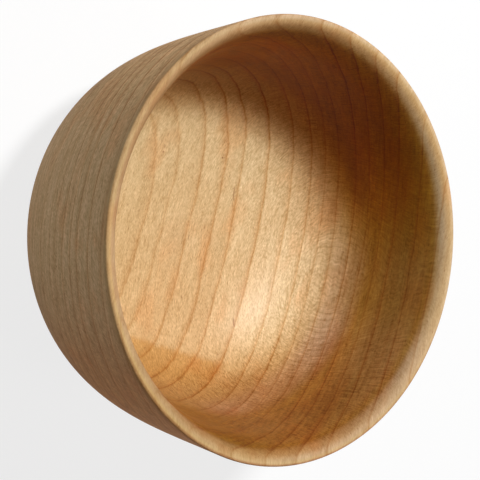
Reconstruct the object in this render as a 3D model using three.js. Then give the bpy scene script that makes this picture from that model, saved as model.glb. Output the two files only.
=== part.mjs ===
// A turned wooden bowl: one piece of wood, with nearly upright sides, a lip that is
// rounded over towards the inside, a dished floor and a flat foot with a shallow recess.
// Millimetres, +Z up, with the origin at the centre of the foot on the surface it stands on.

import * as THREE from 'three';

// Driving dimensions.
const RIM_DIAMETER = 120; // outside, at the lip
const HEIGHT = 66.5; // from the foot to the crest of the lip
const FOOT_DIAMETER = 70.6; // outside of the flat foot
const FLOOR_THICKNESS = 13.7; // at the centre, from the foot's plane to the inside
const WALL_THICKNESS = 7; // level, at the throat where the lip's flare ends
const THROAT_DEPTH = 18; // from the crest of the lip down to the throat
const CREST_INSET = 0.7; // from the outside of the lip in to its crest
const LIP_EDGE_DROP = 0.6; // how far the lip's outer edge is rounded down
const CORNER_SET_IN = 2.1; // how far the floor's sweep aims inside the throat
const FOOT_EDGE = 1.5; // how far the foot's corner is rounded back, each way
const RECESS_DIAMETER = 50; // turned recess under the foot
const RECESS_DEPTH = 1.2;
const RECESS_SLOPE = 2.4; // level width of the recess's sloping edge

// Slopes of the sides, in degrees from upright.
const OUTSIDE_LEAN = 6.2;
const INSIDE_LEAN = 15;

// Shape of the curves, as shares of the lengths that they span.
const SIDE_PULL = 0.57; // how much of the height the outside stays upright
const FOOT_PULL_OUT = 0.85; // how far the turn to the foot swings out
const FOOT_PULL_UP = 0.15; // and how high it starts
const INSIDE_PULL = 0.46; // how much of the depth below the throat stays upright
const CREST_PULL = 0.52; // how flat the top of the lip is
const FLARE_PULL = 0.5; // how far up the flare follows the inside wall

// Facets.
const TURN_STEPS = 64; // round the axis
const SIDE_STEPS = 16; // down the outside, and down the inside wall and floor
const LIP_STEPS = 8; // over the rounded inside of the lip
const EDGE_STEPS = 3; // round each small edge

const rimRadius = RIM_DIAMETER / 2;
const footRadius = FOOT_DIAMETER / 2;
const recessRadius = RECESS_DIAMETER / 2;
const throatHeight = HEIGHT - THROAT_DEPTH;
const footCorner = point(footRadius, 0);

function point(radius, height) {
  return new THREE.Vector2(radius, height);
}

// A step of a given length from a point, down along a wall that leans inwards.
function downTheWall(start, leanDegrees, drop) {
  const lean = THREE.MathUtils.degToRad(leanDegrees);
  return point(start.x - drop * Math.tan(lean), start.y - drop);
}

// The outside, from under the lip's outer edge down to just above the foot's corner.
function outsideCurve() {
  const top = point(rimRadius, HEIGHT - LIP_EDGE_DROP);
  const turn = point(
    footRadius + FOOT_PULL_OUT * (rimRadius - footRadius),
    FOOT_PULL_UP * HEIGHT,
  );
  const end = turn.clone().sub(footCorner).setLength(FOOT_EDGE).add(footCorner);
  return new THREE.CubicBezierCurve(
    top, downTheWall(top, OUTSIDE_LEAN, SIDE_PULL * HEIGHT), turn, end,
  );
}

// The outside radius at a height, found on the curve by halving.
function outsideRadiusAt(height, curve) {
  let above = 0;
  let below = 1;
  for (let i = 0; i < 40; i += 1) {
    const middle = (above + below) / 2;
    if (curve.getPoint(middle).y > height) above = middle;
    else below = middle;
  }
  return curve.getPoint(above).x;
}

// The small rounding between the outside and the flat foot.
function footEdge(outside) {
  return new THREE.QuadraticBezierCurve(
    outside.getPoint(1), footCorner, point(footRadius - FOOT_EDGE, 0),
  );
}

// The lip's outer edge, a quarter of an ellipse from the side up to the crest.
function lipEdge() {
  return new THREE.EllipseCurve(
    rimRadius - CREST_INSET, HEIGHT - LIP_EDGE_DROP, CREST_INSET, LIP_EDGE_DROP, 0, Math.PI / 2,
  );
}

// The rounded inside of the lip, from its crest down to the throat.
function lipFlare(throat) {
  const crest = point(rimRadius - CREST_INSET, HEIGHT);
  const overTheCrest = point(crest.x - CREST_PULL * (crest.x - throat.x), HEIGHT);
  return new THREE.CubicBezierCurve(
    crest, overTheCrest, downTheWall(throat, INSIDE_LEAN, -FLARE_PULL * THROAT_DEPTH), throat,
  );
}

// The inside wall and the dished floor, from the throat to the centre.
function insideCurve(throat) {
  const fall = throat.y - FLOOR_THICKNESS;
  const corner = point(throat.x - CORNER_SET_IN, FLOOR_THICKNESS);
  return new THREE.CubicBezierCurve(
    throat, downTheWall(throat, INSIDE_LEAN, INSIDE_PULL * fall), corner, point(0, FLOOR_THICKNESS),
  );
}

// The turned profile, from the centre of the recess round to the centre of the floor.
function bowlProfile() {
  const outside = outsideCurve();
  const throat = point(outsideRadiusAt(throatHeight, outside) - WALL_THICKNESS, throatHeight);
  const upwards = (curve, steps) => curve.getPoints(steps).reverse();
  const stretches = [
    [point(0, RECESS_DEPTH), point(recessRadius - RECESS_SLOPE, RECESS_DEPTH), point(recessRadius, 0)],
    upwards(footEdge(outside), EDGE_STEPS),
    upwards(outside, SIDE_STEPS),
    lipEdge().getPoints(EDGE_STEPS),
    lipFlare(throat).getPoints(LIP_STEPS),
    insideCurve(throat).getPoints(SIDE_STEPS),
  ];
  const profile = [];
  for (const next of stretches.flat()) {
    const last = profile[profile.length - 1];
    if (!last || last.distanceTo(next) > 0.001) profile.push(next);
  }
  return profile;
}

function makeBowl() {
  const geometry = new THREE.LatheGeometry(bowlProfile(), TURN_STEPS);
  geometry.rotateX(Math.PI / 2);
  const wood = new THREE.MeshStandardMaterial({ color: 0xd2a878, roughness: 0.55, metalness: 0 });
  const bowl = new THREE.Mesh(geometry, wood);
  bowl.name = 'bowl';
  return bowl;
}

const model = new THREE.Group();
model.add(makeBowl());

export default model;
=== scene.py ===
"""A turned wooden bowl of pale, quick-grown wood with a satin oil finish, seen from above.

The bowl, its wood and its camera are measured in millimetres, which MM turns into Blender's
metres. The lamps, the floor's reach and the camera's clipping are in metres. X runs along the
grain of the wood, Y across it, and Z is the turning axis.
"""

import math
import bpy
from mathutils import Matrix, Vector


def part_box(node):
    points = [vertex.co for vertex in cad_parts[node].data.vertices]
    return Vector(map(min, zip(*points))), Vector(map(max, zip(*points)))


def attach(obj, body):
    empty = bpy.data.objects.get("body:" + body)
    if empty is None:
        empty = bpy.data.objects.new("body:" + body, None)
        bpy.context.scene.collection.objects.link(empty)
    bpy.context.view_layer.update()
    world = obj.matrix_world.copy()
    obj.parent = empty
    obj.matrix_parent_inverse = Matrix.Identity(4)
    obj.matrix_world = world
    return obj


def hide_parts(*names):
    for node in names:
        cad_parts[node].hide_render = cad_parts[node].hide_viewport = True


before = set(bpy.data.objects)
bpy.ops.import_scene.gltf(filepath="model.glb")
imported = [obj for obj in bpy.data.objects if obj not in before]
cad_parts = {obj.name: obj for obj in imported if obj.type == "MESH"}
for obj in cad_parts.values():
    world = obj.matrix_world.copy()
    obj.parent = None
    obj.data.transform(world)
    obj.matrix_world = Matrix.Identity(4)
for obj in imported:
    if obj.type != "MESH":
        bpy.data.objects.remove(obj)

from types import SimpleNamespace
from typing import NamedTuple

import bpy
from mathutils import Euler, Matrix, Vector

MM = 0.001

# The turned profile. The two outer sizes come from the frame, the rest are the solid's own.
_, BOWL_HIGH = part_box("bowl")
RIM_RADIUS = BOWL_HIGH.x / MM
HEIGHT = BOWL_HIGH.z / MM
FOOT_RADIUS = 35.3
FLOOR_THICKNESS = 13.7
WALL_THICKNESS = 7
THROAT_DEPTH = 18
CREST_INSET = 0.7
LIP_EDGE_DROP = 0.6
CORNER_SET_IN = 2.1
FOOT_EDGE = 1.5
RECESS_RADIUS = 25
RECESS_DEPTH = 1.2
RECESS_SLOPE = 2.4
RECESS_ROUNDING = 0.5
OUTSIDE_LEAN = math.radians(6.2)
INSIDE_LEAN = math.radians(15)

# How far the pulls of the curves reach, as shares of the lengths that they bend.
SIDE_PULL = 0.57
FOOT_PULL_OUT = 0.85
FOOT_PULL_UP = 0.15
INSIDE_PULL = 0.46
CREST_PULL = 0.52
FLARE_PULL = 0.5

# How finely the curves are cut.
TURN_STEPS = 288
SIDE_STEPS = 56
LIP_STEPS = 28
EDGE_STEPS = 8
HALVINGS = 40  # steps that find the outside's radius at a height
SAME_POINT = 0.001  # points of the profile that lie closer are one

# The camera of the photograph, fitted to the outline and the lip of the bowl.
LENS = 120
SENSOR = 36
CAMERA_ELEVATION = math.radians(51.59)
CAMERA_ROLL = math.radians(93.80)
CAMERA_DISTANCE = 424.6
AIM_LEFT = 14.75
AIM_UP = 0.38
CLIP_START = 0.01
CLIP_END = 100

# The growth rings. The pith lies far below the bowl, so the rings are nearly flat sheets that
# lean up across the grain and bend a little along it.
SHEET_CENTRE = 36.5
SHEET_LEAN = math.radians(24.73)
SHEET_RISE = 0.0809
SHEET_BEND_ACROSS = -0.00034
SHEET_BEND_ALONG = -0.00178
SHEET_TWIST = 0.000435
GRAIN_SKEW = 0.18

# Colours of the wood, linear. The wood that grows first in a year is the paler one.
BASE_COLOUR = (0.65, 0.44, 0.215, 1)
YOUNG_COLOUR = (0.69, 0.47, 0.235, 1)

LINE_WIDTH = 0.34  # half the width of a growth line
LATE_WOOD = 1.4  # how far before its line a year's wood grows darker
EARLY_WOOD = (4.0, 0.2)  # how far past its line a year's wood is pale no more, and still wholly
WIDEST_YEAR = 10  # no two lines lie further apart than this
LINE_SHIFT = 0.22  # all the lines lie this much lower than listed
SWAY_STRETCH = 0.4  # along the grain the lines sway this much less often
LINE_SWAYS = ((0.09, 0.3), (0.6, 0.1))  # how fine each sway of the lines is, and how wide
BREAK_STRETCH = 0.5  # along the grain the lines fade and return this much less often
BREAK_FINENESS = 0.5
BREAK_DETAIL = 3.0
BREAK_NOISE = (-0.9, 0.7)
BREAK_SHARES = (0.45, 1.25)  # what is left of a line where it fades, and where it is strongest

# How deep the growth lines are, at their faintest and at their deepest. The wall under painted
# shade makes them fainter and the lip halves them. End grain makes them deeper, most of all at
# the -X end.
LINE_DEPTHS = (-0.25, -0.72)
LINE_CHANGE_WALL_SHADE = -0.2
LINE_SHARE_ON_LIP = 0.5
LINE_ENDS = (20, -20)
LINE_END_CHANGES = (0.3, 0.9)

# Height of the dark line that ends each year's growth, and how strongly it shows.
GROWTH_LINES = (
    (-58, 0.3), (-52, 0.4), (-46.5, 0.3), (-41, 0.5), (-36, 0.3), (-30.5, 0.4), (-25.7, 0.4),
    (-23, 0.4), (-19.2, 0.6), (-15.3, 0.7), (-12.2, 0.65), (-7.1, 0.85), (-1.1, 0.65),
    (4, 0.75), (8.3, 0.5), (12.6, 0.65), (18.5, 0.95), (23.2, 0.85), (28.2, 0.8), (33, 1.0),
    (40.3, 1.0), (47.5, 1.0), (54, 0.8), (60, 0.8),
)

# Small dark marks: place, size along X, Y and Z, and how much of the colour they take.
DARK_MARKS = (
    ((-13, 18.1, 15.5), (2.6, 0.3, 0.6), -0.45),
    ((25, 19.2, 18.1), (3.2, 0.3, 0.6), -0.45),
    ((-23.2, -8.9, 16.1), (0.35, 0.3, 0.6), -0.5),
    ((-23.3, 12.3, 16.4), (0.35, 0.3, 0.6), -0.5),
)
MARK_EDGE = (1.1, 0.5)  # where a mark begins and where it is whole, as shares of its size

# Where the darker patch low on the +X side begins: a place along the grain and a growth height.
LOW_END_PATCH_GRAIN = 33.6
LOW_END_PATCH_GROWTH = -6.2
LOW_END_PATCH_SLOPE = 0.22  # how far its edge moves along the grain for each mm across
LOW_END_PATCH_ROUNDING = 3.0  # how softly its two edges meet
LOW_END_PATCH_RAGGED = (0.6, 0.4)  # how far the figure and the grains carry its edge
LOW_END_PATCH_EDGE = (-0.9, 1.6)  # how far past its edge it begins, and is whole
LOW_END_PATCH_END = (46, 39)  # where along the grain it has ended, and is still whole

# Sizes of the wood's figure: along the grain, through the growth sheets and across, and how
# much finer detail is laid over it.
FIGURES = {
    "fibres": (2.0, 0.42, 0.42, 2.0),
    "grains": (5.0, 0.9, 0.9, 2.0),
    "figure": (9.0, 3.2, 3.2, 2.0),
    "patches": (22.0, 9.0, 12.0, 2.0),
    "needles": (14.0, 0.7, 4.0, 2.0),
    "streaks": (60.0, 1.3, 9.0, 3.0),
    "pores": (1.6, 0.35, 0.35, 0.0),
    "bands": (90.0, 3.5, 14.0, 2.0),
    "curl": (25.0, 5.0, 5.0, 2.0),
}
FIGURE_ROUGHNESS = 0.55
RAY_SIZE = (0.75, 7.0, 0.2)
RAY_CURL = 1.6  # how far the curl of the grain carries the ray flecks along it

# How much of the colour each figure takes or gives.
FIGURE_SHARES = {"fibres": 0.17, "grains": 0.1, "figure": 0.07, "patches": 0.05}
NEEDLE_SHARE = 0.22
STREAK_SHARE = 0.12
LONG_SHARE = 0.25  # of the needles and the streaks, anywhere
LONG_SHARE_OUTSIDE = 0.6  # what the outside adds to that
LONG_SHARE_WALL_SHADE = 0.5  # what the wall under painted shade adds to it
RAY_SHARE = 0.26
RAY_SHARE_ON_LIP = 0.14
SHARE_ON_END_GRAIN = 1.4
SHARE_ON_LIP = 0.8
BAND_SHARE = 0.02
BAND_SHARE_WALL_SHADE = 0.15
PATCH_NOISE = (0.1, 0.8)
PATCH_DEPTH = -0.14
PORE_NOISE = (1.1, 1.4)
PORE_DEPTH = -0.4

# How far the figure stands out of the surface.
FIGURE_RELIEF = {"fibres": 0.005, "grains": 0.005, "rays": 0.001}
LINE_RELIEF = -0.008

# Shares of red, green and blue in what darkens or pales the wood: the blue changes the most.
FIBRE_TINT = (0.75, 1.0, 1.4)
PATCH_TINT = (0.2, 1.0, 1.6)
BAND_TINT = (0.3, 1.0, 1.6)
MARK_TINT = (0.8, 1.1, 1.3)
LINE_TINT = (0.64, 1.06, 1.65)
LATE_TINT = (0.35, 0.9, 1.4)
FLOOR_LIGHT_TINT = (1.0, 1.0, 1.2)
COLDER_TINT = (0.1, 1.0, 1.7)

# How nearly the surface faces the axis where each share begins and where it is whole. The last
# is how nearly it faces along the grain.
INSIDE = (-0.2, 0.1)
OUTSIDE = (0.1, -0.2)
RISING = (-0.05, 0.35)
SLANTING = (0.05, 0.4)
END_GRAIN = (0.3, 0.9)

# Heights where something begins and where it is whole. A second pair is where it has ended and
# where it is still whole.
LIP_HEIGHTS = (HEIGHT - 4.5, HEIGHT - 0.6)
POLISHED_HEIGHTS = (HEIGHT - 5, HEIGHT - 14)
WALL_HEIGHTS = (28, 44)
TURN_HEIGHTS = ((14, 23), (39, 30))
UNDER_LIP_HEIGHTS = ((59, 62.5), (66.4, 64.5))
FLOOR_HEIGHTS = (29, 20)
LOW_FLOOR_HEIGHTS = (24, 18)
LOW_OUTSIDE_HEIGHTS = (36, 2)

# Places along the grain where something begins and where it is whole, and one across it.
WALL_SHADE_END = (10, -25)
CALM_END = (0, -35)
LIP_END = (10, 45)
OUTSIDE_SHADE_END = (5, 40)
FAR_FLOOR = (8, 26)

# How the floor's colour changes through the growth sheets, which is painted light and shade, and
# from one end to the other.
FLOOR_LIGHT_GROWTH = (-26, 2)
FLOOR_LIGHT_CHANGE = (-0.06, 0.1)
FLOOR_LIGHT_ENDS = (14, 6)
FLOOR_ENDS = (-30, 30)
FLOOR_END_CHANGE = (0.06, -0.06)

# What the lip keeps of the wall's painted shade, and what the outside's -X end loses of the tone
# of end grain, which is partly painted shade.
WALL_SHADE_SHARE_ON_LIP = 0.3
CALM_SHARE = 0.6

# What the colour is multiplied by: painted light and shade, and tones of the wood's own.
# Painted shade on the inside wall, redder towards its -X end, and painted light that pales it on
# the pale side and on the near side.
WALL_SHADE_TONE = (0.49, 0.345, 0.075, 1)
WALL_SHADE_END_TONE = (1.08, 0.85, 0.4, 1)
PALE_SIDE_LIGHT_TONE = (1.27, 1.37, 2.35, 1)
NEAR_SIDE_LIGHT_TONE = (1.15, 1.2, 2.3, 1)
# End grain: partly its own darker tone, partly painted shade.
END_GRAIN_AND_SHADE_TONE = (0.72, 0.53, 0.29, 1)
# Painted light on the turn from the floor, on the far half of the floor and under the lip's crest.
TURN_LIGHT_TONE = (1.08, 1.15, 1.24, 1)
FAR_FLOOR_LIGHT_TONE = (1.05, 1.09, 1.14, 1)
UNDER_LIP_LIGHT_TONE = (1.0, 1.14, 1.5, 1)
LIP_TONE = (0.98, 1.0, 1.1, 1)
END_LIP_TONE = (0.9, 0.88, 0.84, 1)
# Painted shade on the lip at the near -X end.
NEAR_END_LIP_SHADE_TONE = (0.86, 0.86, 0.98, 1)
NEAR_LIP_TONE = (0.84, 0.81, 0.65, 1)
LOW_END_PATCH_TONE = (0.89, 0.76, 0.54, 1)
# Painted shade on the outside towards the +X end.
OUTSIDE_END_SHADE_TONE = (0.9, 0.76, 0.7, 1)
OUTSIDE_TONE = (1.0, 0.97, 1.0, 1)
# Painted shade low on the outside.
LOW_OUTSIDE_SHADE_TONE = (0.8, 0.74, 0.7, 1)


class Side(NamedTuple):
    """A direction from the axis, and the cosines to it where its share begins and is whole."""

    direction: tuple
    begins: float
    whole: float


class WallShading(NamedTuple):
    """Painted light or shade on one side of the inside wall, and the heights where it comes and
    where it ends.
    """

    side: Side
    comes: tuple
    ends: tuple
    tone: tuple


# Sides of the bowl, seen from its axis. The near side is the one towards the photo's camera.
END_SIDE = Side((1, 0, 0), 0.75, 0.95)
PALE_SIDE = Side((0.87, 0.5, 0), 0.74, 0.97)
BROWN_SIDE = Side((0.74, 0.67, 0), 0.55, 0.8)
MIDDLE_SIDE = Side((0.5, 0.87, 0), 0.5, 0.85)
FAR_SIDE = Side((0.26, 0.97, 0), 0.4, 0.8)
SHADED_SIDE = Side((-0.87, 0.5, 0), 0.52, 0.82)
LIT_SIDE = Side((-0.87, 0.5, 0), 0.72, 0.42)  # all but the shaded side
NEAR_END = Side((-0.8, -0.6, 0), 0.5, 0.9)
NEAR_SIDE = Side((0, -1, 0), 0.15, 0.7)

# Painted light and shade on the inside wall.
WALL_SHADING = (
    # Painted shade, darker and a little greyer, low down at the +X end.
    WallShading(END_SIDE, (23, 29), (40, 32), (0.86, 0.84, 0.9, 1)),
    # Painted shade where the wall rises from the floor on the shaded side, and redder painted shade
    # above that.
    WallShading(SHADED_SIDE, (20, 31), (45, 38), (0.68, 0.57, 0.45, 1)),
    WallShading(SHADED_SIDE, (28, 38), (60, 54), (1.03, 0.84, 0.3, 1)),
    # Painted light, paler and yellower, in the middle of the wall.
    WallShading(MIDDLE_SIDE, (31, 38), (50, 43), (1.11, 1.14, 0.92, 1)),
    # Painted light that makes it less yellow, and so browner, between the middle and the +X end.
    WallShading(BROWN_SIDE, (28, 44), (64, 60), (1.0, 1.0, 1.75, 1)),
    # Painted shade, darker, high up on the far side and at the near -X end.
    WallShading(FAR_SIDE, (46, 54), (66.5, 64.5), (0.84, 0.86, 0.88, 1)),
    WallShading(NEAR_END, (56, 62), (66.4, 65), (0.78, 0.74, 0.66, 1)),
)

# The oil's sheen.
ROUGH_INSIDE = 0.39
ROUGH_OUTSIDE = 0.72
SPECULAR_LEVEL = 0.25
SHEEN_TINT = (1.0, 0.95, 0.86, 1)
FIBRE_ROUGHNESS = 0.04  # how much duller or glossier the fibres are

# The white surroundings. The floor that is seen mostly glows, and the bowl can shade only the
# rest of its look. The floor's colour is what it gives back of the light.
WHITE = (1, 1, 1, 1)
FLOOR_COLOUR = (0.45, 0.45, 0.45, 1)
FLOOR_SHADED_SHARE = (0.2, 0.2, 0.2, 1)
FLOOR_GLOW = 0.79
FLOOR_REACH = 6
FLOOR_GAP = 0.05
SKY_LIGHT = 0.01

# The lamps: name, azimuth and elevation in degrees, distance and width in metres, and level.
LAMPS = (
    ("key", 262, 65, 1.2, 0.2, 0.99),
    ("fill", 150, 45, 1.5, 0.8, 0.11),
    ("right", 108, 10, 2.2, 0.8, 0.14),
    ("left", 320, 10, 2.2, 0.8, 0.11),
)


def bezier(points, steps):
    """Points along a quadratic or cubic Bezier curve, both ends included."""
    order = len(points) - 1
    made = []
    for i in range(steps + 1):
        t = i / steps
        weights = [math.comb(order, k) * t**k * (1 - t) ** (order - k) for k in range(order + 1)]
        made.append(sum((w * p for w, p in zip(weights, points)), Vector((0, 0))))
    return made


def down_the_wall(start, lean, drop):
    """A point further down a wall that leans inwards."""
    return start - Vector((drop * math.tan(lean), drop))


def outside_points():
    """The outside, from under the lip's outer edge down to just above the foot's corner."""
    top = Vector((RIM_RADIUS, HEIGHT - LIP_EDGE_DROP))
    corner = Vector((FOOT_RADIUS, 0))
    turn = Vector((FOOT_RADIUS + FOOT_PULL_OUT * (RIM_RADIUS - FOOT_RADIUS), FOOT_PULL_UP * HEIGHT))
    end = corner + FOOT_EDGE * (turn - corner).normalized()
    return top, down_the_wall(top, OUTSIDE_LEAN, SIDE_PULL * HEIGHT), turn, end


def outside_radius_at(height):
    """The outside radius at a height, found on the curve by halving."""
    top, pull, turn, end = outside_points()
    above, below = 0, 1
    for _ in range(HALVINGS):
        t = (above + below) / 2
        s = 1 - t
        point = s**3 * top + 3 * s * s * t * pull + 3 * s * t * t * turn + t**3 * end
        if point.y > height:
            above = t
        else:
            below = t
    return point.x


def rounded_corner(before, corner, after, reach):
    """A corner of the profile with its point rounded off."""
    start = corner + reach * (before - corner).normalized()
    end = corner + reach * (after - corner).normalized()
    return bezier((start, corner, end), EDGE_STEPS)


def recess_points():
    """The shallow recess under the foot, from its centre out to the foot's flat ring."""
    centre = Vector((0, RECESS_DEPTH))
    inner = Vector((RECESS_RADIUS - RECESS_SLOPE, RECESS_DEPTH))
    outer = Vector((RECESS_RADIUS, 0))
    ring = Vector((FOOT_RADIUS - FOOT_EDGE, 0))
    flat = [centre.lerp(inner, i / EDGE_STEPS) for i in range(EDGE_STEPS)]
    return (
        flat
        + rounded_corner(centre, inner, outer, RECESS_ROUNDING)
        + rounded_corner(inner, outer, ring, RECESS_ROUNDING)
    )


def lip_edge_points():
    """The lip's outer edge, a quarter of an ellipse from the side up to the crest."""
    centre = Vector((RIM_RADIUS - CREST_INSET, HEIGHT - LIP_EDGE_DROP))
    made = []
    for i in range(EDGE_STEPS + 1):
        turn = math.pi / 2 * i / EDGE_STEPS
        made.append(centre + Vector((CREST_INSET * math.cos(turn), LIP_EDGE_DROP * math.sin(turn))))
    return made


def inside_points():
    """The rounded inside of the lip, the inside wall and the dished floor."""
    throat_height = HEIGHT - THROAT_DEPTH
    throat = Vector((outside_radius_at(throat_height) - WALL_THICKNESS, throat_height))
    crest = Vector((RIM_RADIUS - CREST_INSET, HEIGHT))
    over = crest - Vector((CREST_PULL * (crest.x - throat.x), 0))
    flare = bezier(
        (crest, over, down_the_wall(throat, INSIDE_LEAN, -FLARE_PULL * THROAT_DEPTH), throat),
        LIP_STEPS,
    )
    wall_end = down_the_wall(throat, INSIDE_LEAN, INSIDE_PULL * (throat.y - FLOOR_THICKNESS))
    corner = Vector((throat.x - CORNER_SET_IN, FLOOR_THICKNESS))
    bottom = Vector((0, FLOOR_THICKNESS))
    return flare + bezier((throat, wall_end, corner, bottom), SIDE_STEPS)


def bowl_profile():
    """The whole profile, from the centre of the recess round to the centre of the floor."""
    outside = outside_points()
    foot_corner = Vector((FOOT_RADIUS, 0))
    foot_ring = Vector((FOOT_RADIUS - FOOT_EDGE, 0))
    stretches = (
        recess_points(),
        bezier((foot_ring, foot_corner, outside[-1]), EDGE_STEPS),
        bezier(outside, SIDE_STEPS)[::-1],
        lip_edge_points(),
        inside_points(),
    )
    profile = []
    for point in (p for stretch in stretches for p in stretch):
        if not profile or (point - profile[-1]).length > SAME_POINT:
            profile.append(point)
    return profile


def turned_mesh(name, profile):
    """A closed mesh of a profile turned about Z, whose first and last points lie on the axis."""
    first, *rings, last = profile
    verts = [(0, 0, first.y * MM)]
    for point in rings:
        radius = point.x * MM
        for i in range(TURN_STEPS):
            turn = math.tau * i / TURN_STEPS
            verts.append((radius * math.cos(turn), radius * math.sin(turn), point.y * MM))
    verts.append((0, 0, last.y * MM))

    def at(ring, i):
        return 1 + ring * TURN_STEPS + i % TURN_STEPS

    faces = []
    for i in range(TURN_STEPS):
        faces.append((0, at(0, i + 1), at(0, i)))
        for ring in range(len(rings) - 1):
            faces.append((at(ring, i), at(ring, i + 1), at(ring + 1, i + 1), at(ring + 1, i)))
        faces.append((at(len(rings) - 1, i), at(len(rings) - 1, i + 1), len(verts) - 1))
    mesh = bpy.data.meshes.new(name)
    mesh.from_pydata(verts, [], faces)
    mesh.shade_smooth()
    mesh.update()
    return mesh


class Nodes:
    """Short calls that add shader nodes to one material or world."""

    def __init__(self, owner):
        owner.use_nodes = True
        self.tree = owner.node_tree
        self.tree.nodes.clear()

    def add(self, kind, inputs=None, **settings):
        """A node with its settings, and its inputs linked or set by name or number."""
        node = self.tree.nodes.new(kind)
        for key, value in settings.items():
            setattr(node, key, value)
        for key, value in (inputs or {}).items():
            self.feed(value, node.inputs[key])
        return node

    def feed(self, value, socket):
        """Links an output to a socket, or sets the socket to a plain value."""
        if isinstance(value, bpy.types.NodeSocket):
            self.tree.links.new(value, socket)
        else:
            socket.default_value = value

    def math(self, operation, *values):
        """A Math node's result."""
        return self.add("ShaderNodeMath", dict(enumerate(values)), operation=operation).outputs[0]

    def vector_math(self, operation, *values):
        """A Vector Math node's result, a number for a length or a dot product."""
        node = self.add("ShaderNodeVectorMath", dict(enumerate(values)), operation=operation)
        return node.outputs["Value" if operation in ("LENGTH", "DOT_PRODUCT") else "Vector"]

    def times(self, *values):
        """The product of several values."""
        result = values[0]
        for value in values[1:]:
            result = self.math("MULTIPLY", result, value)
        return result

    def rest_of(self, share):
        """What a share leaves of 1."""
        return self.math("SUBTRACT", 1.0, share)

    def total(self, *terms):
        """The sum of (factor, value) pairs."""
        result = 0.0
        for factor, value in terms:
            result = self.math("MULTIPLY_ADD", value, factor, result)
        return result

    def along(self, vector, direction):
        """How far a vector reaches along a direction."""
        return self.vector_math("DOT_PRODUCT", vector, direction)

    def vector(self, x, y, z):
        """A vector from three numbers."""
        return self.add("ShaderNodeCombineXYZ", {"X": x, "Y": y, "Z": z}).outputs[0]

    def noise(self, vector, scale, detail=2.0, roughness=0.5):
        """Smooth noise about 0, from about -1 to 1."""
        node = self.add(
            "ShaderNodeTexNoise",
            {"Vector": vector, "Scale": scale, "Detail": detail, "Roughness": roughness},
        )
        return self.math("MULTIPLY_ADD", node.outputs[0], 4.0, -2.0)

    def spread(self, value, low, high, to_low=0.0, to_high=1.0, smooth=True):
        """A value carried from one range to another and held at its ends."""
        node = self.add(
            "ShaderNodeMapRange",
            {
                "Value": value,
                "From Min": low,
                "From Max": high,
                "To Min": to_low,
                "To Max": to_high,
            },
            interpolation_type="SMOOTHSTEP" if smooth else "LINEAR",
        )
        return node.outputs[0]

    def shift(self, share, first, last):
        """A value that goes smoothly from one to another as a share goes from 0 to 1."""
        return self.spread(share, 0.0, 1.0, first, last)

    def between(self, value, comes, ends):
        """A share that comes over one stretch of a value and ends over another."""
        return self.times(self.spread(value, *comes), self.spread(value, *ends))

    def curve(self, value, points, low, high):
        """A value read off straight lines between (place, height) points, heights from 0 to 1."""
        along = self.spread(value, low, high, smooth=False)
        node = self.add("ShaderNodeFloatCurve", {"Value": along})
        spline = node.mapping.curves[0]
        for place, height in points[1:-1]:
            spline.points.new((place - low) / (high - low), height)
        spline.points[0].location = (0, points[0][1])
        spline.points[-1].location = (1, points[-1][1])
        for point in spline.points:
            point.handle_type = "VECTOR"
        node.mapping.update()
        return node.outputs[0]

    def tinted(self, colour, amount, tint):
        """A colour made lighter by an amount, or darker below 0, with a share for each channel."""
        same = self.vector(amount, amount, amount)
        factor = self.vector_math("MULTIPLY_ADD", same, tint, (1, 1, 1))
        return self.vector_math("MULTIPLY", colour, factor)

    def toned(self, colour, share, tone):
        """A colour multiplied by a tone, by a share from 0 to 1."""
        return self.mix(share, colour, tone, "MULTIPLY")

    def mix(self, factor, first, second, blend="MIX"):
        """Two colours mixed. The node's colour inputs are 6 and 7, and its colour output is 2."""
        node = self.add("ShaderNodeMix", data_type="RGBA", blend_type=blend)
        self.feed(factor, node.inputs[0])
        self.feed(first, node.inputs[6])
        self.feed(second, node.inputs[7])
        return node.outputs[2]


def wood_place(nodes):
    """Place in the wood: along the grain, height through the growth sheets, and across, in mm."""
    place = nodes.add("ShaderNodeTexCoord").outputs["Object"]
    place = nodes.vector_math("MULTIPLY", place, (1 / MM,) * 3)
    centred = nodes.vector_math("SUBTRACT", place, (0, 0, SHEET_CENTRE))
    grain = nodes.along(centred, (1, 0, 0))
    up = nodes.along(centred, (0, math.sin(SHEET_LEAN), math.cos(SHEET_LEAN)))
    across = nodes.along(centred, (0, math.cos(SHEET_LEAN), -math.sin(SHEET_LEAN)))
    growth = nodes.total(
        (1.0, up),
        (SHEET_RISE, grain),
        (SHEET_BEND_ACROSS, nodes.times(across, across)),
        (SHEET_BEND_ALONG, nodes.times(grain, grain)),
        (SHEET_TWIST, nodes.times(grain, across)),
    )
    across = nodes.math("MULTIPLY_ADD", grain, GRAIN_SKEW, across)
    return place, grain, growth, across


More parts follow.
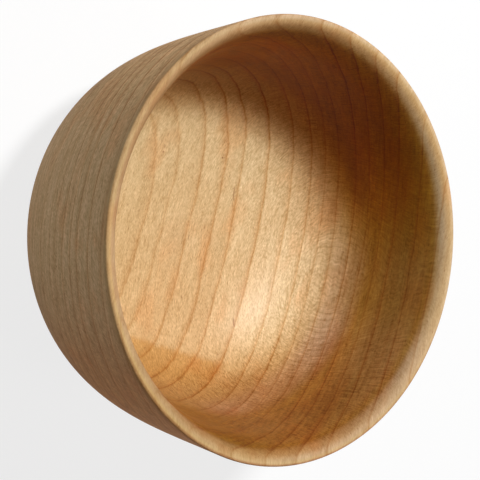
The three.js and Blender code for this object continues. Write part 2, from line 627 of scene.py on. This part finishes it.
def growth_lines(nodes, grain, growth, across):
    """How much of a place is growth line, darker late wood before a line, and pale young wood."""
    heights = [line[0] for line in GROWTH_LINES]
    low, high = heights[0], heights[-1]
    years = len(heights) - 1
    at = nodes.vector(nodes.times(grain, SWAY_STRETCH), growth, across)
    sways = [(width, nodes.noise(at, fineness)) for fineness, width in LINE_SWAYS]
    growth = nodes.total((1.0, growth), (1.0, LINE_SHIFT), *sways)
    age = nodes.curve(growth, [(h, i / years) for i, h in enumerate(heights)], low, high)
    part = nodes.math("FRACT", nodes.times(age, float(years)))
    widths = [b - a for a, b in zip(heights, heights[1:])]
    mean = [(a + b) / 2 for a, b in zip(widths[:1] + widths, widths + widths[-1:])]
    shares = [(h, w / WIDEST_YEAR) for h, w in zip(heights, mean)]
    width = nodes.times(nodes.curve(growth, shares, low, high), float(WIDEST_YEAR))
    strength = nodes.curve(growth, GROWTH_LINES, low, high)
    to_line = nodes.times(nodes.rest_of(part), width)
    past_line = nodes.times(part, width)
    core = nodes.spread(nodes.math("MINIMUM", to_line, past_line), LINE_WIDTH, 0.0)
    late = nodes.math("POWER", nodes.spread(to_line, LATE_WOOD, 0.0, smooth=False), 2.0)
    at = nodes.vector(nodes.times(grain, BREAK_STRETCH), growth, across)
    broken = nodes.noise(at, BREAK_FINENESS, BREAK_DETAIL)
    whole = nodes.spread(broken, *BREAK_NOISE, *BREAK_SHARES, smooth=False)
    core = nodes.times(core, whole, strength)
    late = nodes.times(late, strength)
    return core, late, nodes.spread(past_line, *EARLY_WOOD)


def surface_masks(nodes, place):
    """Where a point lies on the bowl: its height in mm, its direction, and shares from 0 to 1."""
    facing = nodes.add("ShaderNodeTexCoord").outputs["Normal"]
    outwards = nodes.vector_math("NORMALIZE", nodes.vector_math("MULTIPLY", place, (1, 1, 0)))
    inwards = nodes.times(nodes.along(facing, outwards), -1.0)
    height = nodes.add("ShaderNodeSeparateXYZ", {0: place}).outputs[2]
    slanting = nodes.spread(inwards, *SLANTING)
    lip = nodes.spread(height, *LIP_HEIGHTS)
    wall = nodes.times(nodes.spread(height, *WALL_HEIGHTS), slanting)
    along_grain = nodes.math("ABSOLUTE", nodes.along(facing, (1, 0, 0)))
    return SimpleNamespace(
        height=height,
        outwards=outwards,
        inside=nodes.spread(inwards, *INSIDE),
        outside=nodes.spread(inwards, *OUTSIDE),
        rising=nodes.spread(inwards, *RISING),
        slanting=slanting,
        polished=nodes.spread(height, *POLISHED_HEIGHTS),
        lip=lip,
        wall_shade=nodes.times(wall, nodes.shift(lip, 1.0, WALL_SHADE_SHARE_ON_LIP)),
        end_grain=nodes.spread(along_grain, *END_GRAIN),
    )


def on_side(nodes, masks, side):
    """How far a point lies on a side of the bowl, from 0 to 1."""
    return nodes.spread(nodes.along(masks.outwards, side.direction), side.begins, side.whole)


def wood_noises(nodes, grain, growth, across):
    """Noises drawn out along the grain, each named for the figure that it makes."""

    def stretched(start, size):
        """A place in the wood, counted in grains of a size along the wood's own directions."""
        along, through, sideways = size
        return nodes.vector(
            nodes.times(start, 1 / along),
            nodes.times(growth, 1 / through),
            nodes.times(across, 1 / sideways),
        )

    made = {
        name: nodes.noise(stretched(grain, size), 1.0, detail, FIGURE_ROUGHNESS)
        for name, (*size, detail) in FIGURES.items()
    }
    curled = nodes.math("MULTIPLY_ADD", made["curl"], RAY_CURL, grain)
    made["rays"] = nodes.noise(stretched(curled, RAY_SIZE), 1.0, 1.0)
    return SimpleNamespace(**made)


def fine_figure(nodes, colour, noises, masks):
    """Fibres, ray flecks, patches and pores, and longer streaks outside and up the wall."""
    long_share = nodes.total(
        (LONG_SHARE, 1.0), (LONG_SHARE_OUTSIDE, masks.outside), (LONG_SHARE_WALL_SHADE, masks.wall_shade)
    )
    long_grain = nodes.total((NEEDLE_SHARE, noises.needles), (STREAK_SHARE, noises.streaks))
    ray_share = nodes.shift(masks.lip, RAY_SHARE, RAY_SHARE_ON_LIP)
    shade = nodes.total(
        *((share, getattr(noises, name)) for name, share in FIGURE_SHARES.items()),
        (1.0, nodes.times(noises.rays, ray_share)),
        (1.0, nodes.times(long_grain, long_share)),
    )
    rougher = nodes.shift(masks.end_grain, 1.0, SHARE_ON_END_GRAIN)
    calmer = nodes.shift(masks.lip, 1.0, SHARE_ON_LIP)
    colour = nodes.tinted(colour, nodes.times(shade, rougher, calmer), FIBRE_TINT)
    reddish = nodes.spread(noises.patches, *PATCH_NOISE, 0.0, PATCH_DEPTH)
    colour = nodes.tinted(colour, reddish, PATCH_TINT)
    band_share = nodes.shift(masks.wall_shade, BAND_SHARE, BAND_SHARE_WALL_SHADE)
    colour = nodes.tinted(colour, nodes.times(noises.bands, band_share), BAND_TINT)
    pores = nodes.spread(noises.pores, *PORE_NOISE, 0.0, PORE_DEPTH)
    return nodes.tinted(colour, pores, MARK_TINT)


def year_lines(nodes, colour, line, late, masks, grain):
    """The dark line at the end of a year's growth, and the pinker wood that leads up to it."""
    faded = nodes.shift(masks.lip, 1.0, LINE_SHARE_ON_LIP)
    by_end = nodes.times(masks.end_grain, nodes.spread(grain, *LINE_ENDS, *LINE_END_CHANGES))
    deeper = nodes.math("MULTIPLY_ADD", masks.wall_shade, LINE_CHANGE_WALL_SHADE, by_end)
    depth = nodes.spread(deeper, LINE_CHANGE_WALL_SHADE, 1.0, *LINE_DEPTHS, smooth=False)
    depth = nodes.times(faded, depth)
    colour = nodes.tinted(colour, nodes.times(line, depth), LINE_TINT)
    return nodes.tinted(colour, nodes.times(late, depth), LATE_TINT)


def painted_wall_shading(nodes, colour, masks, grain):
    """Painted shade: the inside wall is darker and redder than the floor, with more painted light
    and shade on its sides.

    The turn between them has painted light, but for the shaded side and the +X end.
    """
    # Painted light on the turn, away from the shaded side and the +X end.
    turn = nodes.times(
        nodes.between(masks.height, *TURN_HEIGHTS),
        nodes.rest_of(on_side(nodes, masks, END_SIDE)),
        on_side(nodes, masks, LIT_SIDE),
        masks.rising,
    )
    colour = nodes.toned(colour, turn, TURN_LIGHT_TONE)
    # Painted shade on the wall, redder towards the -X end, lifted by painted light on the pale and
    # near sides.
    colour = nodes.toned(colour, masks.wall_shade, WALL_SHADE_TONE)
    far_end = nodes.times(masks.wall_shade, nodes.spread(grain, *WALL_SHADE_END))
    colour = nodes.toned(colour, far_end, WALL_SHADE_END_TONE)
    pale = nodes.times(on_side(nodes, masks, PALE_SIDE), masks.wall_shade)
    colour = nodes.toned(colour, pale, PALE_SIDE_LIGHT_TONE)
    near = nodes.times(on_side(nodes, masks, NEAR_SIDE), masks.wall_shade)
    colour = nodes.toned(colour, near, NEAR_SIDE_LIGHT_TONE)
    # The table's painted light and shade, side by side.
    for row in WALL_SHADING:
        share = nodes.times(
            on_side(nodes, masks, row.side),
            nodes.between(masks.height, row.comes, row.ends),
            masks.slanting,
        )
        colour = nodes.toned(colour, share, row.tone)
    return colour


def end_grain_and_shade(nodes, colour, masks, grain):
    """End grain is darker, partly its own tone from drinking the most oil and partly painted shade,
    and less so on the outside at the -X end.
    """
    calm = nodes.times(masks.outside, nodes.spread(grain, *CALM_END, 0.0, CALM_SHARE))
    share = nodes.times(masks.end_grain, nodes.rest_of(calm))
    return nodes.toned(colour, share, END_GRAIN_AND_SHADE_TONE)


def lip_tones(nodes, colour, masks, grain):
    """The rounded lip is paler than the wall below it, and its far half greyer under the crest.

    The greyer band is painted light, and the darker lip at the near -X end is painted shade.
    """
    near = on_side(nodes, masks, NEAR_SIDE)
    far_half = nodes.times(masks.slanting, nodes.rest_of(near))
    greyer = nodes.math("SUBTRACT", far_half, on_side(nodes, masks, BROWN_SIDE))
    # Painted light just under the crest on the far half.
    under_lip = nodes.times(nodes.between(masks.height, *UNDER_LIP_HEIGHTS), greyer)
    colour = nodes.toned(colour, under_lip, UNDER_LIP_LIGHT_TONE)
    tone = nodes.mix(nodes.spread(grain, *LIP_END), LIP_TONE, END_LIP_TONE)
    # Painted shade at the near -X end.
    tone = nodes.mix(on_side(nodes, masks, NEAR_END), tone, NEAR_END_LIP_SHADE_TONE)
    tone = nodes.toned(tone, near, NEAR_LIP_TONE)
    return nodes.toned(colour, masks.lip, tone)


def floor_tones(nodes, colour, masks, place, grain, growth):
    """The floor has painted light on its far half, painted light and shade through the growth
    sheets, paler towards +Y, and is warmer at the +X end.
    """
    # Painted light on the far half of the floor.
    far = nodes.spread(nodes.along(place, (0, 1, 0)), *FAR_FLOOR)
    far = nodes.times(far, nodes.spread(masks.height, *FLOOR_HEIGHTS), masks.inside)
    colour = nodes.toned(colour, far, FAR_FLOOR_LIGHT_TONE)
    # Painted light and shade through the growth sheets: darker towards -Y, paler towards +Y.
    floor_light = nodes.spread(growth, *FLOOR_LIGHT_GROWTH, *FLOOR_LIGHT_CHANGE, smooth=False)
    floor_light = nodes.times(floor_light, nodes.spread(growth, *FLOOR_LIGHT_ENDS), masks.inside)
    colour = nodes.tinted(colour, floor_light, FLOOR_LIGHT_TINT)
    colder = nodes.spread(grain, *FLOOR_ENDS, *FLOOR_END_CHANGE, smooth=False)
    colder = nodes.times(colder, nodes.spread(masks.height, *LOW_FLOOR_HEIGHTS), masks.inside)
    return nodes.tinted(colour, colder, COLDER_TINT)


def low_end_patch_and_shade(nodes, colour, noises, masks, place, grain, growth):
    """A darker patch low on the +X side of the inside, with a clear edge, and painted shade that
    comes slowly over the outside towards the +X end.
    """
    edge_at = nodes.total((1.0, grain), (-LOW_END_PATCH_SLOPE, nodes.along(place, (0, 1, 0))))
    past_edge = nodes.math("SUBTRACT", edge_at, LOW_END_PATCH_GRAIN)
    past_ring = nodes.math("SUBTRACT", LOW_END_PATCH_GROWTH, growth)
    depth = nodes.math("SMOOTH_MIN", past_edge, past_ring, LOW_END_PATCH_ROUNDING)
    by_figure, by_grains = LOW_END_PATCH_RAGGED
    depth = nodes.total((1.0, depth), (by_figure, noises.figure), (by_grains, noises.grains))
    dark_patch = nodes.spread(depth, *LOW_END_PATCH_EDGE)
    dark_patch = nodes.times(dark_patch, nodes.spread(grain, *LOW_END_PATCH_END), masks.inside)
    colour = nodes.toned(colour, dark_patch, LOW_END_PATCH_TONE)
    # Painted shade on the outside towards the +X end.
    outside_shade = nodes.times(nodes.spread(grain, *OUTSIDE_SHADE_END), masks.outside)
    return nodes.toned(colour, outside_shade, OUTSIDE_END_SHADE_TONE)


def outside_tones(nodes, colour, masks):
    """The outside is a little pinker than the inside, and darker and browner low down by painted
    shade.
    """
    colour = nodes.toned(colour, masks.outside, OUTSIDE_TONE)
    # Painted shade low down.
    low = nodes.times(nodes.spread(masks.height, *LOW_OUTSIDE_HEIGHTS), masks.outside)
    return nodes.toned(colour, low, LOW_OUTSIDE_SHADE_TONE)


def dark_marks(nodes, colour, place):
    """The few small marks in the wood: two short dashes along the grain and two specks."""
    for centre, size, depth in DARK_MARKS:
        away = nodes.vector_math("SUBTRACT", place, centre)
        reach = nodes.vector_math("LENGTH", nodes.vector_math("DIVIDE", away, size))
        colour = nodes.tinted(colour, nodes.spread(reach, *MARK_EDGE, 0.0, depth), MARK_TINT)
    return colour


def wood():
    """The bowl's wood: growth lines, fibres, rays, pores and end grain under a satin oil, with
    painted light and shade in its colour.
    """
    material = bpy.data.materials.new("oiled_wood")
    nodes = Nodes(material)
    place, grain, growth, across = wood_place(nodes)
    line, late, young = growth_lines(nodes, grain, growth, across)
    masks = surface_masks(nodes, place)
    noises = wood_noises(nodes, grain, growth, across)
    colour = nodes.mix(young, BASE_COLOUR, YOUNG_COLOUR)
    colour = fine_figure(nodes, colour, noises, masks)
    colour = year_lines(nodes, colour, line, late, masks, grain)
    colour = painted_wall_shading(nodes, colour, masks, grain)
    colour = end_grain_and_shade(nodes, colour, masks, grain)
    colour = lip_tones(nodes, colour, masks, grain)
    colour = floor_tones(nodes, colour, masks, place, grain, growth)
    colour = low_end_patch_and_shade(nodes, colour, noises, masks, place, grain, growth)
    colour = outside_tones(nodes, colour, masks)
    colour = dark_marks(nodes, colour, place)
    relief = nodes.total(
        *((depth, getattr(noises, name)) for name, depth in FIGURE_RELIEF.items()),
        (LINE_RELIEF, line),
    )
    bump = nodes.add("ShaderNodeBump", {"Height": relief, "Distance": MM, "Strength": 1.0})
    duller = nodes.math("MULTIPLY_ADD", noises.fibres, FIBRE_ROUGHNESS, ROUGH_OUTSIDE)
    polished = nodes.times(masks.inside, masks.polished)
    rough = nodes.math("MULTIPLY_ADD", polished, ROUGH_INSIDE - ROUGH_OUTSIDE, duller)
    shader = nodes.add(
        "ShaderNodeBsdfPrincipled",
        {
            "Base Color": colour,
            "Roughness": rough,
            "Specular IOR Level": SPECULAR_LEVEL,
            "Specular Tint": SHEEN_TINT,
            "Normal": bump.outputs[0],
        },
    )
    nodes.add("ShaderNodeOutputMaterial", {"Surface": shader.outputs[0]})
    return material


def make_bowl():
    """The bowl as one fine turned mesh, in place of the plain solid."""
    bowl = bpy.data.objects.new("turned_bowl", turned_mesh("turned_bowl", bowl_profile()))
    bpy.context.collection.objects.link(bowl)
    bowl.data.materials.append(wood())
    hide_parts("bowl")
    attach(bowl, "root")


def make_camera():
    """The photograph's camera. Its picture is turned, so the bowl's axis points to the right."""
    data = bpy.data.cameras.new("camera")
    data.lens = LENS
    data.sensor_width = SENSOR
    data.clip_start = CLIP_START
    data.clip_end = CLIP_END
    camera = bpy.data.objects.new("camera", data)
    bpy.context.collection.objects.link(camera)
    rotation = (
        Euler((math.pi / 2 - CAMERA_ELEVATION, 0, 0)).to_matrix()
        @ Matrix.Rotation(CAMERA_ROLL, 3, "Z")
    )
    right, up, back = rotation.transposed()
    rim = Vector((0, 0, HEIGHT * MM))
    aim = rim - AIM_LEFT * MM * right + AIM_UP * MM * up
    camera.matrix_world = Matrix.Translation(aim + CAMERA_DISTANCE * MM * back) @ rotation.to_4x4()
    bpy.context.scene.camera = camera


def lamp(name, azimuth, elevation, distance, width, level):
    """A round soft lamp that faces the bowl. Azimuth 0 stands on the -Y side, 90 on the +X side.

    At level 1 a white surface that faces the lamp looks just white.
    """
    data = bpy.data.lights.new(name, "AREA")
    data.shape = "DISK"
    data.size = width
    data.energy = level * (math.pi * distance) ** 2
    light = bpy.data.objects.new(name, data)
    bpy.context.collection.objects.link(light)
    a, e = math.radians(azimuth), math.radians(elevation)
    back = Vector((math.sin(a) * math.cos(e), -math.cos(a) * math.cos(e), math.sin(e)))
    light.location = Vector((0, 0, HEIGHT / 2 * MM)) + distance * back
    light.rotation_euler = back.to_track_quat("Z", "Y").to_euler()
    light.visible_camera = False


def looked_at(nodes):
    """1 where the camera looks, directly or in a reflection or through glass, and 0 for light."""
    path = nodes.add("ShaderNodeLightPath").outputs
    seen = nodes.math("MAXIMUM", path["Is Camera Ray"], path["Is Glossy Ray"])
    return nodes.math("MAXIMUM", seen, path["Is Transmission Ray"])


def pale_floor():
    """A plain pale floor that looks white wherever nothing shades it."""
    material = bpy.data.materials.new("pale_floor")
    nodes = Nodes(material)
    plain = nodes.add("ShaderNodeBsdfDiffuse", {"Color": FLOOR_COLOUR})
    shaded = nodes.add("ShaderNodeBsdfDiffuse", {"Color": FLOOR_SHADED_SHARE})
    glow = nodes.add("ShaderNodeEmission", {"Color": WHITE, "Strength": FLOOR_GLOW})
    both = nodes.add("ShaderNodeAddShader", {0: shaded.outputs[0], 1: glow.outputs[0]})
    mixed = nodes.add(
        "ShaderNodeMixShader", {0: looked_at(nodes), 1: plain.outputs[0], 2: both.outputs[0]}
    )
    nodes.add("ShaderNodeOutputMaterial", {"Surface": mixed.outputs[0]})
    mesh = bpy.data.meshes.new("floor")
    r = FLOOR_REACH
    mesh.from_pydata([(-r, -r, 0), (r, -r, 0), (r, r, 0), (-r, r, 0)], [], [(0, 1, 2, 3)])
    floor = bpy.data.objects.new("floor", mesh)
    floor.location.z = -FLOOR_GAP * MM
    bpy.context.collection.objects.link(floor)
    mesh.materials.append(material)


def pale_world():
    """A sky that looks white and gives hardly any light."""
    world = bpy.data.worlds.new("sky")
    bpy.context.scene.world = world
    nodes = Nodes(world)
    dim = nodes.add("ShaderNodeBackground", {"Color": WHITE, "Strength": SKY_LIGHT})
    white = nodes.add("ShaderNodeBackground", {"Color": WHITE, "Strength": 1.0})
    mixed = nodes.add(
        "ShaderNodeMixShader", {0: looked_at(nodes), 1: dim.outputs[0], 2: white.outputs[0]}
    )
    nodes.add("ShaderNodeOutputWorld", {"Surface": mixed.outputs[0]})


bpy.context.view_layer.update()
make_camera()
make_bowl()
pale_floor()
pale_world()
for settings in LAMPS:
    lamp(*settings)
bpy.context.scene.view_settings.view_transform = "Standard"
